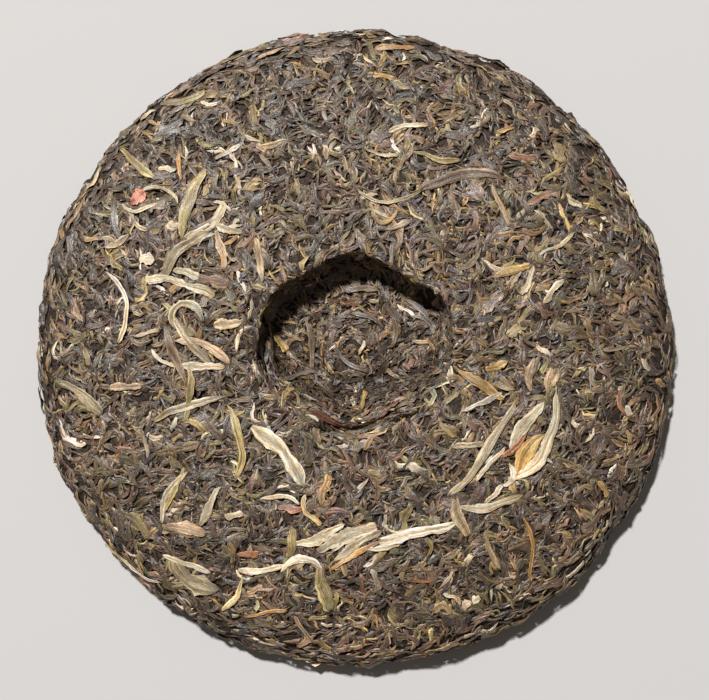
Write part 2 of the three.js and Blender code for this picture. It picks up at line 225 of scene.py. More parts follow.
# Leaves that stand out on the back: shade, middle, direction in degrees, length, width, bend in degrees
BLADES = [
    # East of the dimple
    ("white", 52, -24, -129, 18, 3.6, -2), ("russet", 49, -31, -144, 12, 2.5, -34),
    ("cream", 59, -28, -113, 34, 3.4, -56), ("gold", 52, -33, -120, 17, 5.0, 35),
    ("drab", 40, -32, -121, 36, 2.5, -28), ("cream", 41, -36, -129, 14, 1.2, 0),
    ("pale", 42, -49, -158, 21, 2.5, -44), ("cream", 42, -46, 41, 8, 1.6, 0),
    ("cream", 48, -40, -97, 9, 1.6, -89), ("tan", 61, -10, -103, 6, 2.8, 0),
    ("tan", 59, -11, -95, 8, 2.2, 0), ("tan", 53, -9, -94, 11, 2.2, 0),
    ("gold", 76, -44, -48, 7, 1.6, 0), ("gold", 38, -12, -30, 17, 2.5, -7),
    ("gold", 43, -7, 14, 8, 2.2, 0), ("grey", 38, -18, 9, 14, 1.6, -12),
    ("pale", 34, -31, 4, 10, 1.9, 0), ("tan", 31, -52, -82, 14, 3.1, 29),
    ("orange", 54, -62, -80, 22, 1.4, -8),
    # South of the dimple
    ("white", 19, -57, 15, 26, 3.6, 20), ("cream", 8, -62, 7, 11, 1.6, 0),
    ("tan", 41, -63, -62, 13, 1.6, -12), ("cream", 30, -77, -36, 7, 1.2, 0),
    ("white", 37, -78, -1, 3, 2.5, 0), ("russet", 19, -72, 3, 10, 1.2, 0),
    ("cream", -2, -58, 33, 17, 4.1, -43), ("drab", 0, -61, 33, 18, 2.5, -20),
    ("orange", 0, -64, 34, 19, 1.6, -3), ("white", -29, -69, 9, 15, 1.9, 13),
    ("white", -17, -65, 15, 16, 2.2, -60), ("pale", -6, -60, 13, 14, 3.8, -18),
    ("cream", -11, -59, 20, 17, 2.8, 14), ("cream", -23, -46, -1, 13, 1.2, -66),
    ("honey", -15, -51, -59, 12, 1.6, 60), ("russet", -20, -50, -13, 8, 2.2, 0),
    ("olive", -19, -60, -90, 10, 2.8, 0), ("honey", -36, -77, -112, 14, 1.6, -8),
    ("orange", -28, -82, 11, 14, 1.2, -54), ("olive", -10, -74, -77, 15, 3.8, -1),
    ("tan", -16, -87, -63, 11, 1.6, 0), ("russet", -33, -64, 6, 7, 2.2, 0),
    ("drab", -51, -72, -37, 19, 5.4, 8), ("white", -52, -67, -20, 16, 1.9, -25),
    ("white", -70, -68, -35, 23, 1.9, 40), ("pink", -52, -56, -1, 13, 3.4, 0),
    ("pale", -44, -49, -117, 14, 2.5, 7), ("olive", -55, -45, -121, 17, 1.6, 0),
    ("cream", -37, -52, 7, 6, 1.9, 0), ("cream", -22, -32, -47, 25, 4.2, 10),
    ("olive", -35, -29, -73, 24, 2.5, -48), ("drab", -51, -19, 15, 25, 2.2, -23),
    ("olive", -50, -14, -99, 19, 2.2, 0), ("cream", -47, -7, -8, 14, 2.2, 0),
    ("pink", -70, -13, 3, 11, 2.2, 0), ("drab", -85, -14, -28, 20, 3.4, -28),
    ("pale", -57, -45, -121, 19, 1.6, 48),
    # West of the dimple
    ("olive", -51, 44, -108, 24, 3.4, 20), ("white", -58, 54, -12, 6, 1.6, 0),
    ("orange", -54, 55, -84, 9, 1.2, 0), ("salmon", -67, 45, 32, 6, 4.4, 0),
    ("cream", -59, 48, -20, 14, 1.2, -140), ("cream", -67, 41, -2, 14, 1.2, 88),
    ("olive", -68, 56, -32, 18, 2.5, 12), ("drab", -54, 29, 42, 21, 3.8, -50),
    ("cream", -45, 36, 29, 18, 2.8, 31), ("cream", -40, 43, 150, 7, 0.9, 110),
    ("brown", -47, 36, 25, 10, 1.9, 0), ("cream", -39, 35, -13, 9, 2.2, 0),
    ("cream", -37, 36, 20, 5, 0.9, 0), ("pink", -41, 29, -80, 12, 2.2, -31),
    ("white", -64, 26, -18, 5, 3.4, 0), ("white", -52, 22, -17, 9, 2.5, 0),
    ("white", -58, 20, -10, 14, 2.5, -59), ("cream", -48, 17, -13, 11, 2.5, -19),
    ("drab", -53, 12, 18, 19, 2.2, -191), ("drab", -50, 0, -52, 21, 2.5, 6),
    ("pink", -46, 0, -27, 19, 2.5, -42), ("brown", -55, -3, -65, 20, 2.5, -32),
    ("pale", -64, 3, 5, 8, 1.2, 0), ("cream", -59, -5, -30, 10, 1.2, 47),
    ("tan", -39, 6, 0, 9, 3.1, 0), ("cream", -70, 13, -76, 25, 1.7, -85),
    ("ash", -74, 39, -77, 14, 2.5, 15), ("pale", -73, 31, 19, 9, 1.9, 0),
    ("pale", -76, 33, -14, 8, 1.2, -111), ("tan", -29, 26, -88, 14, 2.2, 0),
    ("cream", -56, 36, -23, 4, 2.5, 0), ("pale", -66, 36, -30, 6, 1.6, 0),
    ("tan", -25, 61, 12, 9, 1.9, 0), ("grey", -39, 59, 28, 10, 1.2, 0),
    # In the dimple
    ("gold", -24, 1, -39, 7, 3.1, 0), ("rust", -8, -23, -27, 14, 2.2, 25),
    ("rust", 10, -20, 47, 8, 1.6, 0), ("gold", 3, -17, -70, 9, 1.6, 0),
    ("rust", 17, -6, 38, 4, 2.5, 0), ("cream", 2, -1, 50, 5, 0.9, 0),
    ("ash", -17, -9, 42, 21, 1.6, -44), ("ash", -3, -5, -38, 15, 1.2, 44),
    ("tan", 23, 1, -19, 14, 1.2, -19), ("brown", 2, 18, 0, 12, 1.9, -52),
    ("brown", 13, 4, -87, 12, 1.6, -65), ("ash", 20, 12, -35, 11, 1.6, -41),
    ("ash", 22, 8, -35, 11, 1.6, -28), ("brown", -14, 1, -76, 17, 1.9, -34),
    ("ash", 4, 9, -24, 12, 1.6, -46),
    # North of the dimple
    ("cream", -65, 72, 27, 6, 1.2, 0), ("tan", -26, 91, 30, 10, 1.6, 0),
    ("olive", -54, 76, 1, 16, 2.5, 0), ("cream", -9, 59, -83, 5, 1.6, 0),
    ("cream", 8, 58, -6, 10, 1.2, 0), ("pale", 16, 67, 14, 13, 1.6, 0),
    ("orange", 12, 93, 6, 13, 1.9, 0), ("orange", 46, 66, 10, 7, 1.2, 0),
    ("brown", 32, 52, 16, 28, 2.8, -64), ("tan", 44, 43, -57, 15, 1.6, 0),
    ("olive", 24, 57, -24, 16, 1.6, 0), ("cream", 62, 30, 29, 14, 1.2, 0),
    ("cream", 67, 44, -36, 7, 1.9, 0), ("cream", 60, 16, 47, 10, 1.9, 0),
    ("pale", 53, 19, 60, 10, 1.9, 0), ("gold", 47, 22, 21, 13, 2.5, 0),
    ("drab", 10, 43, 0, 22, 1.2, 73), ("gold", 8, 37, -9, 13, 1.2, 149),
    ("pale", 13, 36, 10, 8, 1.6, 0),
]


def smooth(start, end, x):
    t = np.clip((x - start) / (end - start), 0, 1)
    return t * t * (3 - 2 * t)


def bell(x, width):
    return np.exp(-((x / width) ** 2))


def unit(vectors):
    """Vectors along the last axis, at length 1."""
    return vectors / np.maximum(np.linalg.norm(vectors, axis=-1, keepdims=True), 1e-9)


def wavy(waves, angle):
    return 1 + sum(share * np.cos(count * angle + phase) for count, phase, share in waves)


def edge_radius(angle):
    return CAKE_RADIUS * wavy(OUTLINE_WAVES, angle)


def linear(colour):
    """Colour as the eye sees it, 0 to 255, to the shader's linear values."""
    c = np.asarray(colour, float) / 255
    return np.where(c <= 0.04045, c / 12.92, ((c + 0.055) / 1.055) ** 2.4)


# The form


def polar_points(radius, angle):
    return list(zip(radius * np.cos(angle), radius * np.sin(angle)))


def crease_lines():
    """All creases as (points, depth, half width). The dimple's lip has depth 0: back_height cuts it."""
    lines = list(CREASES)
    for start, end in RIM_CREVICE["stretches"]:
        angle = np.radians(np.arange(start, end + 1, RIM_CREVICE["step"]))
        wobble = RIM_CREVICE["wobble"] * np.sin(angle * RIM_CREVICE["wobbles"])
        radius = edge_radius(angle) * (RIM_CREVICE["at"] + wobble)
        lines.append((polar_points(radius, angle), RIM_CREVICE["depth"], RIM_CREVICE["width"]))
    angle = CREVICE["middle"] + np.linspace(-1, 1, LIP_STEPS) * CREVICE["spread"] * LIP_OVERRUN
    radius = CREVICE["at"] * DIMPLE_RADIUS * wavy(DIMPLE_WAVES, angle)
    lines.append((polar_points(radius, angle), 0, LIP_HALF_WIDTH))
    return lines


def distance_to_line(points, line):
    """Distance in plan from each point to a line of segments, and the direction of the nearest one."""
    ends = np.array(line)
    best = np.full(len(points), np.inf)
    way = np.zeros((len(points), 2))
    for start, end in zip(ends[:-1], ends[1:]):
        along = end - start
        share = np.clip((points - start) @ along / (along @ along), 0, 1)
        gap = np.linalg.norm(points - start - share[:, None] * along, axis=1)
        closer = gap < best
        best[closer] = gap[closer]
        way[closer] = along / np.linalg.norm(along)
    return best, way


def nearest_crease(points):
    """Distance from each point to the edge of the nearest crease, and that crease's direction."""
    best = np.full(len(points), np.inf)
    way = np.zeros((len(points), 2))
    for line, _, width in crease_lines():
        gap, direction = distance_to_line(points, line)
        gap = np.maximum(gap - width * CREASE_COVERED_SHARE, 0)
        closer = gap < best
        best[closer] = gap[closer]
        way[closer] = direction[closer]
    return best, way


def crease_depth(x, y):
    points = np.stack([x.ravel(), y.ravel()], axis=1)
    depth = np.zeros(len(points))
    for line, deep, width in crease_lines():
        if deep:
            gap, _ = distance_to_line(points, line)
            depth = np.maximum(depth, deep * bell(gap, width))
    return depth.reshape(x.shape)


def ramp_share(angle):
    """How far the dimple's steep wall has given way to the ramp of its south and west sides."""
    south = np.maximum(-np.sin(angle - EAST_TURN), -np.sin(angle + WEST_TURN))
    return smooth(*RAMP_FADE, south)


def back_height(x, y):
    """Height of the back at a place, with the dimple: steep on its north side, a ramp elsewhere."""
    angle = np.arctan2(y, x)
    out = np.hypot(x, y)
    across, up = BACK_ROUNDING
    rise = (1 - np.minimum(1, out / edge_radius(angle)) ** across) ** (1 / up)
    face = RIM_HEIGHT + (BACK_HEIGHT - RIM_HEIGHT) * rise
    floor = (
        DIMPLE_FLOOR_HEIGHT
        + KNOB_HEIGHT * bell(out, KNOB_RADIUS)
        - RING_FOLD_DEPTH * bell(out - RING_FOLD_RADIUS, RING_FOLD_WIDTH)
        + SOUTH_RISE * smooth(SOUTH_FROM, SOUTH_TO, -y)
    )
    share = out / (DIMPLE_RADIUS * wavy(DIMPLE_WAVES, angle))
    southness = ramp_share(angle)
    start = WALL_STEEP + (WALL_RAMP - WALL_STEEP) * southness
    around = bell(angle - CREVICE["middle"], CREVICE["spread"])
    crevice = CREVICE["depth"] * around * bell(share - CREVICE["at"], CREVICE["width"])
    inside = floor + (face - floor) * smooth(start, WALL_END, share) - crevice
    return np.where(share >= WALL_END, face, inside)


def wall_undercut(x, y):
    """How far the middle of the dimple's north wall lies back under its edge."""
    angle = np.arctan2(y, x)
    share = np.hypot(x, y) / (DIMPLE_RADIUS * wavy(DIMPLE_WAVES, angle))
    southness = ramp_share(angle)
    climb = smooth(WALL_STEEP, WALL_END, share)
    return WALL_UNDERCUT * 4 * climb * (1 - climb) * (1 - southness)


def front_height(share):
    flat = FLAT_SPOT_RADIUS / CAKE_RADIUS
    across, up = FRONT_ROUNDING
    out = np.clip((share - flat) / (1 - flat), 0, 1)
    return RIM_HEIGHT * (1 - (1 - out**across) ** (1 / up))


def profile_share(p):
    """Share of the edge radius at p, which is 0 on the back's middle, 1 on the rim and 2 underneath."""
    flat = FLAT_SPOT_RADIUS / CAKE_RADIUS
    back = np.sin(np.clip(p, 0, 1) * np.pi / 2) ** (2 / BACK_ROUNDING[0])
    front = flat + (1 - flat) * np.sin((2 - np.clip(p, 1, 2)) * np.pi / 2) ** (2 / FRONT_ROUNDING[0])
    return np.where(p <= 1, back, front)


def even_rows():
    """Values of p and shares of the edge radius along the profile, closer together in the dimple."""
    p = np.linspace(SMALLEST_P, 2, PROFILE_STEPS)
    share = profile_share(p)
    inward = np.linspace(1, LAST_SHARE, FLAT_STEPS)[1:]
    flat = FLAT_SPOT_RADIUS / CAKE_RADIUS
    p = np.concatenate([p, 2 + np.arange(1, len(inward) + 1) * FLAT_P_STEP])
    share = np.concatenate([share, flat * inward])
    y = share * edge_radius(np.pi / 2)
    z = np.where(p <= 1, back_height(np.zeros_like(y), y), np.where(p <= 2, front_height(share), 0))
    step = np.where((p < 1) & (share < FINE_SHARE), FINE_ROW_STEP, ROW_STEP)
    rows = np.concatenate([[0], np.cumsum(np.hypot(np.diff(y), np.diff(z)) / step[1:])])
    stations = np.linspace(FIRST_ROW, rows[-1], int(rows[-1]))
    return np.interp(stations, rows, p), np.interp(stations, rows, share)


def slow_relief(points):
    return sum(
        height * np.sin(points @ np.array(vector) + phase) for vector, phase, height in SLOW_WAVES
    )


def random_waves(points, sizes, count, rng):
    """Smooth random relief of the given sizes, with a standard deviation of 1."""
    relief = np.zeros(points.shape[:2])
    for _ in range(count):
        vector = rng.normal(size=3)
        vector *= 2 * np.pi / rng.uniform(*sizes) / np.linalg.norm(vector)
        relief += np.sin(points @ vector + rng.uniform(0, 2 * np.pi))
    return relief / relief.std()


def grid_normals(grid):
    """Outward normals of a grid of points (row, column, xyz) that closes round its columns."""
    down = np.gradient(grid, axis=0)
    around = np.roll(grid, -1, axis=1) - np.roll(grid, 1, axis=1)
    return unit(np.cross(down, around))


def outer_surface():
    """The surface that leaves lie on as a grid of points, with its normals and each row's p."""
    p, share = even_rows()
    angle = np.arange(COLUMNS) / COLUMNS * 2 * np.pi
    radius = share[:, None] * edge_radius(angle)[None, :]
    x, y = radius * np.cos(angle), radius * np.sin(angle)
    under = np.where(p[:, None] <= 2, front_height(share)[:, None], 0)
    z = np.where(p[:, None] <= 1, back_height(x, y), under)
    undercut = wall_undercut(x, y) * (p[:, None] < UNDERCUT_LAST_P)
    x, y = x + undercut * np.cos(angle), y + undercut * np.sin(angle)
    grid = np.stack([x, y, z + np.zeros_like(x)], axis=2)
    fade = smooth(0, RELIEF_FULL_AT, grid[..., 2])
    lumps = random_waves(grid, LUMP_SIZES, LUMP_WAVES, np.random.default_rng(LUMP_SEED))
    relief = (slow_relief(grid) + LUMP_HEIGHT * lumps) * fade
    relief -= np.where(p[:, None] < CREASE_LAST_P, crease_depth(x, y), 0)
    grid += grid_normals(grid) * relief[..., None]
    grid[..., 2] = np.maximum(grid[..., 2], 0)
    return grid, grid_normals(grid), p


def grid_faces(rows, columns):
    """Quads of a closed polar grid, with a fan of triangles at each end round an extra middle point."""
    index = np.arange(rows * columns).reshape(rows, columns)
    turned = np.roll(index, -1, axis=1)
    quads = np.stack([index[:-1], index[1:], turned[1:], turned[:-1]], axis=-1).reshape(-1, 4)
    top, bottom = rows * columns, rows * columns + 1
    fans = [(top, a, b) for a, b in zip(index[0], turned[0])]
    fans += [(bottom, b, a) for a, b in zip(index[-1], turned[-1])]
    return quads, fans


def closed_grid_points(grid):
    middles = [grid[0].mean(axis=0), grid[-1].mean(axis=0)]
    return np.concatenate([grid.reshape(-1, 3), middles])


def surface_tree(grid):
    quads, fans = grid_faces(*grid.shape[:2])
    faces = quads.tolist() + [list(map(int, fan)) for fan in fans]
    return BVHTree.FromPolygons(closed_grid_points(grid).tolist(), faces)


# Meshes


def new_object(name, mesh, material, slot=None):
    mesh.materials.append(material)
    piece = bpy.data.objects.new(name, mesh)
    scene.collection.objects.link(piece)
    if slot:
        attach(piece, "root")
        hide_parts("tea_cake")
    return piece


def mesh_from_arrays(name, points, polygons):
    """A mesh from points in mm and a list of arrays of polygons, each array of one corner count."""
    mesh = bpy.data.meshes.new(name)
    corners = np.concatenate([group.reshape(-1) for group in polygons]).astype(np.int32)
    totals = np.concatenate([np.full(len(group), group.shape[1]) for group in polygons])
    starts = np.concatenate([[0], np.cumsum(totals)[:-1]]).astype(np.int32)
    mesh.vertices.add(len(points))
    mesh.vertices.foreach_set("co", (points * MM).astype(np.float32).ravel())
    mesh.loops.add(len(corners))
    mesh.loops.foreach_set("vertex_index", corners)
    mesh.polygons.add(len(totals))
    mesh.polygons.foreach_set("loop_start", starts)
    mesh.update(calc_edges=True)
    mesh.validate()
    return mesh


def add_tints(mesh, tints):
    layer = mesh.color_attributes.new("Tint", "FLOAT_COLOR", "POINT")
    rgba = np.concatenate([tints, np.ones((len(tints), 1))], axis=1)
    layer.data.foreach_set("color", rgba.astype(np.float32).ravel())


def add_uv(mesh, name, corners):
    layer = mesh.uv_layers.new(name=name, do_init=False)
    layer.uv.foreach_set("vector", corners.astype(np.float32).ravel())


# Materials

# Painted light in the leaves' colour: warm painted shade in the rib grooves, and a dust colour that also
# stands for painted sheen on ridges and wrinkle tops
WARM_GROOVE_SHADE_TINT = (1.27, 0.94, 0.71)
STAIN_TINT = (1.05, 0.97, 0.88)
DUST_AND_SHEEN_COLOUR = (0.46, 0.43, 0.38, 1)
RIDGE_DUST_AND_SHEEN = 0.05
# Patterns: scales, across and along a leaf for the first two, and in the cake's metres
RIB_SCALE, FINE_SCALE = (1.5, 0.14, 1.0), (5.0, 0.9, 1.0)
STAIN_SCALE, FLECK_SCALE = 420.0, 1700.0
PATCH_SCALE, GREEN_SCALE = 260.0, 130.0
STRAND_SCALE = (1500.0, 210.0, 1500.0)
# Ramps: where a pattern's value starts and ends to count, and what it then gives
RIB_RAMP, WRINKLE_LIGHT_AND_SHADE_RAMP = (0.38, 0.62, 0.0, 1.0), (0.35, 0.65, 0.58, 1.25)
DUST_AND_SHEEN_RAMP, STAIN_RAMP = (0.5, 0.66, 0.0, 0.1), (0.42, 0.66, 0.0, 0.8)
STRAND_RAMP, GREEN_RAMP = (0.36, 0.68, 0.0, 1.0), (0.45, 0.65, 0.0, 0.6)
FLECK_RANGE, ROUGHNESS_RANGE, ROUGHNESS_SPREAD = (0.58, 0.74), (0.3, 0.7), 0.13
# Relief in metres, and the ribs' part in it
RIB_RELIEF, CORE_RELIEF, RIB_PART, FINE_PART = 0.00028, 0.0008, 0.6, 0.4
# The core's dark, light and green strands, darker than the leaves as painted shade in the gaps between them
CORE_COLOURS_WITH_GAP_SHADE = ((22, 13, 8), (74, 56, 42), (58, 51, 33))
CORE_ROUGHNESS = 0.7
FLOOR_COLOUR, FLOOR_ROUGHNESS = (0.54, 0.53, 0.53, 1), 0.85


class Nodes:
    """Short calls for building a material's node tree."""

    def __init__(self, name):
        self.material = bpy.data.materials.new(name)
        self.material.use_nodes = True
        self.tree = self.material.node_tree
        self.shader = self.tree.nodes["Principled BSDF"]

    def add(self, kind, inputs=(), **settings):
        node = self.tree.nodes.new(kind)
        for key, value in settings.items():
            setattr(node, key, value)
        for key, value in dict(inputs).items():
            self.set(node.inputs[key], value)
        return node

    def set(self, socket, value):
        if isinstance(value, bpy.types.NodeSocket):
            self.tree.links.new(value, socket)
        else:
            socket.default_value = value

    def maths(self, operation, a, b):
        return self.add("ShaderNodeMath", {0: a, 1: b}, operation=operation).outputs[0]

    def remap(self, value, low, high, to_low, to_high):
        ends = {"From Min": low, "From Max": high, "To Min": to_low, "To Max": to_high}
        return self.add("ShaderNodeMapRange", {"Value": value, **ends}).outputs["Result"]

    def noise(self, vector, scale, detail=2.0, roughness=0.5):
        inputs = {"Vector": vector, "Scale": scale, "Detail": detail, "Roughness": roughness}
        return self.add("ShaderNodeTexNoise", inputs).outputs["Fac"]

    def stretched(self, vector, scale):
        return self.add("ShaderNodeMapping", {"Vector": vector, "Scale": scale}).outputs[0]

    def scaled(self, colour, factor):
        return self.add("ShaderNodeVectorMath", {0: colour, "Scale": factor}, operation="SCALE").outputs[0]

    def times(self, colour, other):
        return self.add("ShaderNodeVectorMath", {0: colour, 1: other}, operation="MULTIPLY").outputs[0]

    def mixed(self, share, a, b):
        inputs = {"Factor": share, "A": a, "B": b}
        return self.add("ShaderNodeMix", inputs, data_type="RGBA").outputs["Result"]

    def relief(self, height, distance):
        return self.add("ShaderNodeBump", {"Distance": distance, "Height": height}).outputs[0]

    def finish(self, inputs):
        """Sets the shader's inputs and gives the material."""
        for key, value in inputs.items():
            self.set(self.shader.inputs[key], value)
        return self.material


def leaf_material(name, streak, roughness, shine, dust):
    """Dry leaf: lengthwise ribs with painted warm shade in their grooves and dust and painted sheen on their
    ridges, fine wrinkles with painted shade and highlight, stains, pale flecks, and a dull shine.
    """
    n = Nodes(name)
    tint = n.add("ShaderNodeAttribute", attribute_name="Tint").outputs["Color"]
    uv = n.add("ShaderNodeUVMap", uv_map="LeafUV").outputs["UV"]
    place = n.add("ShaderNodeTexCoord").outputs["Object"]
    ribs = n.noise(n.stretched(uv, RIB_SCALE), 1.0, detail=1.5)
    fine = n.noise(n.stretched(uv, FINE_SCALE), 1.0, roughness=0.6)
    stains = n.noise(place, STAIN_SCALE)
    flecks = n.noise(place, FLECK_SCALE, detail=1.0)
    # The ribs' grooves take painted warm shade and their ridges dust and painted sheen; the same ribs raise
    # the relief
    shaded_groove = n.times(tint, tuple((1 - streak) * part for part in WARM_GROOVE_SHADE_TINT))
    ridge_with_sheen = n.mixed(RIDGE_DUST_AND_SHEEN, n.scaled(tint, 1 + streak), DUST_AND_SHEEN_COLOUR)
    colour = n.mixed(n.remap(ribs, *RIB_RAMP), shaded_groove, ridge_with_sheen)
    # Fine wrinkles: painted shade in their hollows, painted highlight with dust on their tops, following
    # their relief
    colour = n.scaled(colour, n.remap(fine, *WRINKLE_LIGHT_AND_SHADE_RAMP))
    colour = n.mixed(n.remap(fine, *DUST_AND_SHEEN_RAMP), colour, DUST_AND_SHEEN_COLOUR)
    colour = n.mixed(n.remap(stains, *STAIN_RAMP), colour, n.times(colour, STAIN_TINT))
    colour = n.mixed(n.remap(flecks, *FLECK_RANGE, 0.0, dust), colour, DUST_AND_SHEEN_COLOUR)
    dull, smoother = roughness + ROUGHNESS_SPREAD, roughness - ROUGHNESS_SPREAD
    height = n.maths("ADD", n.maths("MULTIPLY", ribs, RIB_PART), n.maths("MULTIPLY", fine, FINE_PART))
    return n.finish({
        "Base Color": colour,
        "Roughness": n.remap(fine, *ROUGHNESS_RANGE, dull, smoother),
        "Specular IOR Level": shine,
        "Normal": n.relief(height, RIB_RELIEF),
    })


def core_material():
    """Packed leaf deep between the proud leaves: dark brown strands that run another way in each patch, kept
    darker than the leaves as painted shade in the gaps between them.
    """
    n = Nodes("packed_leaf_gap_shade")
    place = n.add("ShaderNodeTexCoord").outputs["Object"]
    patches = n.add("ShaderNodeTexVoronoi", {"Vector": place, "Scale": PATCH_SCALE}).outputs["Color"]
    pick = n.add("ShaderNodeSeparateColor", {0: patches}).outputs[0]
    angle = n.maths("MULTIPLY", pick, 2 * math.pi)
    turn = {"Vector": place, "Axis": (0.0, 0.0, 1.0), "Angle": angle}
    turned = n.add("ShaderNodeVectorRotate", turn, rotation_type="AXIS_ANGLE").outputs[0]
    strands = n.noise(n.stretched(turned, STRAND_SCALE), 1.0, roughness=0.6)
    greens = n.noise(place, GREEN_SCALE)
    dark, light, green = ((*linear(colour), 1) for colour in CORE_COLOURS_WITH_GAP_SHADE)
    colour = n.mixed(n.remap(strands, *STRAND_RAMP), dark, light)
    green_share = n.maths("MULTIPLY", n.remap(greens, *GREEN_RAMP), strands)
    colour = n.mixed(green_share, colour, green)
    relief = n.relief(strands, CORE_RELIEF)
    return n.finish({"Base Color": colour, "Roughness": CORE_ROUGHNESS, "Normal": relief})


def floor_material():
    return Nodes("pale_floor").finish({"Base Color": FLOOR_COLOUR, "Roughness": FLOOR_ROUGHNESS})


# The core


def make_core(grid, normals):
    rng = np.random.default_rng(SEED)
    grain = CORE_GRAIN * random_waves(grid, CORE_GRAIN_SIZES, CORE_GRAIN_WAVES, rng)
    sunk = grid + normals * (grain - CORE_INSET)[..., None]
    sunk[..., 2] = np.maximum(sunk[..., 2], CORE_LOWEST)
    quads, fans = grid_faces(*grid.shape[:2])
    mesh = mesh_from_arrays("core", closed_grid_points(sunk), [quads, np.array(fans)])
    new_object("core", mesh, core_material(), "dark_leaf")


# Leaves on the surface

# Radii between which the dimple's leaves give way to the back's, and a height that is below its floor
DIMPLE_FADE, DIMPLE_ABOVE = (21, 28), 8
# The grain: a large and a small swirl, as turns and size, and how far rim and dimple straighten it
SWIRL, SWIRL_SIZE = 2.6, 24
SMALL_SWIRL, SMALL_SWIRL_SIZE, SMALL_SWIRL_SHIFT = 1.6, 9, Vector((7, 0, 3))
RIM_FADE, RIM_CALM = (84, 98), 0.4
DIMPLE_CALM, DIMPLE_SPIRAL = 0.75, 0.35
HEADING_SPREAD, BEND_SPREAD = 0.7, 0.7
# Where the leaves of the rim start, and how much more densely and how much smaller they lie in the dimple
RIM_FROM_RADIUS, RIM_FROM_P = 93, 0.3
DENSER, DENSER_FADE, SMALLER = 0.5, (20, 28), 0.3
# One leaf: how its ends taper, its waves as radians from the middle to an end, and how uneven it is
FULL_TURN = 6.3
END_SHIFT, TAPER_POWERS, TAPER_ROUNDING, THICK_TAPER = 0.12, (2.0, 5.0), 0.62, 0.7
PINCH, PINCH_WAVES, LEVEL_WAVES, DRIFT_WAVES = 0.2, (1.5, 6), (1, 4.5), (1.5, 5)
RAGGED_PINCH, RAGGED_DRIFT = 0.6, 1.5
RIDGE_SPREAD, RIDGE_NOISE = 0.45, 0.2
# Share left of what stands over a leaf's pressed height, and how near the floor it is squeezed
PRESSED_SHARE, PRESSED_UNDER = 0.3, 0.8
SIZE_SKEW, NARROWING = (1.6, 2.8), 0.6
THINNEST, THICKNESS, THICKNESS_SPREAD = 0.25, 0.18, (0.7, 1.2)
LEAF_ROLL, LEAF_TWIST = 0.3, 0.4
LEAF_HABIT = {"wave": 0.14, "dip": 0.3, "drift": 0.35, "tip": 0.16, "press": 0.22}
BLADE_THINNEST, BLADE_THICKNESS, BLADE_LEVEL, BLADE_ROLL, BLADE_TWIST = 0.45, 0.1, 0.55, 0.12, 0.2
BLADE_HABIT = {
    "wave": 0.12, "dip": 0.35, "drift": 0.2, "tip": 0.1, "press": 0.9, "ragged": 0.07, "streaks": 0.3,
}
# Tints: paler edges, partly the edge's own colour and partly a painted highlight, darker middle grooves as
# painted shade, a change along the leaf, and spots
AT_EDGE, AT_MIDDLE, GROOVE_UNDER = 0.9, 0.1, 0.2
EDGE_PALE_AND_HIGHLIGHT, GROOVE_PAINTED_SHADE, CHANGE, CHANGE_WAVES = 0.35, 0.25, 0.25, (1, 5)
WARM_DRIFT, WARM_SPREAD = (0.07, 0, -0.1), 0.8
MOTTLE, TINT_RANGE = 0.16, (0.003, 0.85)
# Patches of lighter and darker leaves as (strength, size), then what differs from leaf to leaf
PATCHES = ((0.62, 4.2), (0.42, 13))
PATCH_SPREAD, SHADE_SPREAD, HUE_SPREAD, BLADE_SPREAD = 0.2, 0.17, 0.05, 0.07
SHADE_PICKS = 20
# Texture layout: each leaf's cell as (start, size) across and along, its two ends, and shapes
CELL_ACROSS, CELL_ALONG, CELL_SHAPE = (0.07, 0.86), (0.04, 0.84), 3.6
END_SIZE, END_PLACES = (0.16, 0.03), ((0.27, 0.94), (0.73, 0.94))
PATTERN_REACH, GIRTH = 400, 2.4


def draw_sites(grid, normals, wanted, count, rng):
    """Places drawn evenly by area, times the share wanted in each cell of the surface."""
    corner = grid[:-1]
    right = np.roll(corner, -1, axis=1) - corner
    down = grid[1:] - corner
    area = np.linalg.norm(np.cross(right, down), axis=2) * wanted[:-1]
    steps = np.cumsum(area.ravel())
    picks = np.searchsorted(steps, (np.arange(count) + rng.random(count)) / count * steps[-1])
    a, b = rng.random((2, count, 1))
    start, right, down, facing = (part.reshape(-1, 3)[picks] for part in (corner, right, down, normals[:-1]))
    return start + right * a + down * b, facing


def in_dimple(place):
    """1 on the dimple's floor, 0 outside its mouth."""
    radius = math.hypot(place.x, place.y)
    return float(1 - smooth(*DIMPLE_FADE, radius)) if place.z > DIMPLE_ABOVE else 0.0


def grain_heading(place, normal, crease_gap, crease_way, draw):
    """Direction of a leaf: swirls over the faces, along the edge at the rim, and a spiral in the dimple."""
    out = Vector((place.x, place.y, 0)).normalized()
    along_edge = normal.cross(out).normalized()
    outward = along_edge.cross(normal)
    radius = math.hypot(place.x, place.y)
    swirl = SWIRL * noise.noise(place / SWIRL_SIZE)
    swirl += SMALL_SWIRL * noise.noise(place / SMALL_SWIRL_SIZE + SMALL_SWIRL_SHIFT)
    rim = float(smooth(*RIM_FADE, radius))
    dimple = in_dimple(place)
    angle = math.pi * swirl * (1 - rim) * (1 - DIMPLE_CALM * dimple) + DIMPLE_SPIRAL * dimple
    angle += draw.gauss(0, HEADING_SPREAD - RIM_CALM * rim)
    heading = along_edge * math.cos(angle) + outward * math.sin(angle)
    if crease_gap < CREASE_REACH and normal.z > 0:
        beside = Vector((crease_way[0], crease_way[1], 0))
        beside = (beside - normal * beside.dot(normal)).normalized()
        if beside.dot(heading) < 0:
            beside = -beside
        share = 1 - CREASE_FREEDOM * crease_gap / CREASE_REACH
        heading = (heading * (1 - share) + beside * share).normalized()
    return heading


